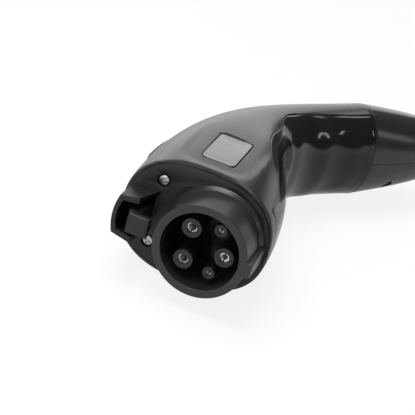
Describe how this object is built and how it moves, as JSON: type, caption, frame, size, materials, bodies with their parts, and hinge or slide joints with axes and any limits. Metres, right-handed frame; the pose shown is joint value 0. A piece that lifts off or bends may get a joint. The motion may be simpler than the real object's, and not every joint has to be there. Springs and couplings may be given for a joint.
{
  "type": "ev charging connector",
  "caption": "Handheld vehicle charging connector with a round plug barrel, hooded latch, release button, curved grip and cable gland.",
  "frame": {"origin": "centre of the plug barrel's rim", "axes": "-Y the way the connector is pushed into its inlet, -X the side of the latch, Z square to the housing's median plane; it lies on its -Z side"},
  "size_m": [0.1216, 0.225, 0.0591],
  "materials": {
    "housing_black": "satin",
    "plate_black": "matte",
    "insert_grey": "satin",
    "latch_black": "satin",
    "grip_gloss": "gloss",
    "rubber_black": "matte",
    "contact_silver": "polished",
    "steel": "brushed",
    "name_silver": "brushed",
    "inner_grey": "matte",
    "board_green": "satin"
  },
  "bodies": {
    "housing": {"upper_shell": "housing_black", "lower_shell": "housing_black", "top_cover": "housing_black", "front_plate": "plate_black", "plug_barrel": "plate_black", "barrel_seal": "rubber_black", "contact_insert": "insert_grey", "power_contact_live": "contact_silver", "power_contact_neutral": "contact_silver", "earth_contact": "contact_silver", "pilot_contact": "contact_silver", "proximity_contact": "contact_silver", "contact_retainer": "inner_grey", "retainer_screws": "steel", "power_sleeve_live": "insert_grey", "power_sleeve_neutral": "insert_grey", "earth_sleeve": "insert_grey", "pilot_sleeve": "insert_grey", "proximity_sleeve": "insert_grey", "latch_pin": "steel", "latch_spring": "steel", "latch_carrier": "inner_grey", "button_pin": "steel", "microswitch": "plate_black", "circuit_board": "board_green", "nameplate": "name_silver", "upper_grip_pad": "grip_gloss", "lower_grip_pad": "grip_gloss", "upper_tail_cap": "grip_gloss", "lower_tail_cap": "grip_gloss", "cable_gland": "rubber_black", "cable_clamp": "inner_grey", "clamp_screws": "steel", "plate_screws": "steel", "shell_screws": "steel", "cap_screws": "steel"},
    "latch": {"latch_lever": "latch_black"},
    "button": {"release_button": "latch_black"},
    "plunger": {"switch_plunger": "insert_grey"}
  },
  "joints": [
    {"name": "latch_hinge", "type": "hinge", "parent": "housing", "child": "latch", "pos_m": [-0.034, 0.044, 0], "axis": [0, 0, -1], "range_deg": [0, 5], "stiffness_Nm_per_rad": 0.6, "springref_deg": -8.59, "deforming": ["latch_spring"]},
    {"name": "button_hinge", "type": "hinge", "parent": "housing", "child": "button", "pos_m": [-0.0354, 0.086, 0], "axis": [0, 0, 1], "range_deg": [0, 4.6]},
    {"name": "plunger_slide", "type": "slide", "parent": "housing", "child": "plunger", "axis": [1, 0, 0], "range_m": [0, 0.0012]}
  ],
  "couplings": [
    {"joint": "button_hinge", "follows": "latch_hinge", "ratio": 0.9},
    {"joint": "plunger_slide", "follows": "latch_hinge", "m_per_rad": 0.0132}
  ]
}
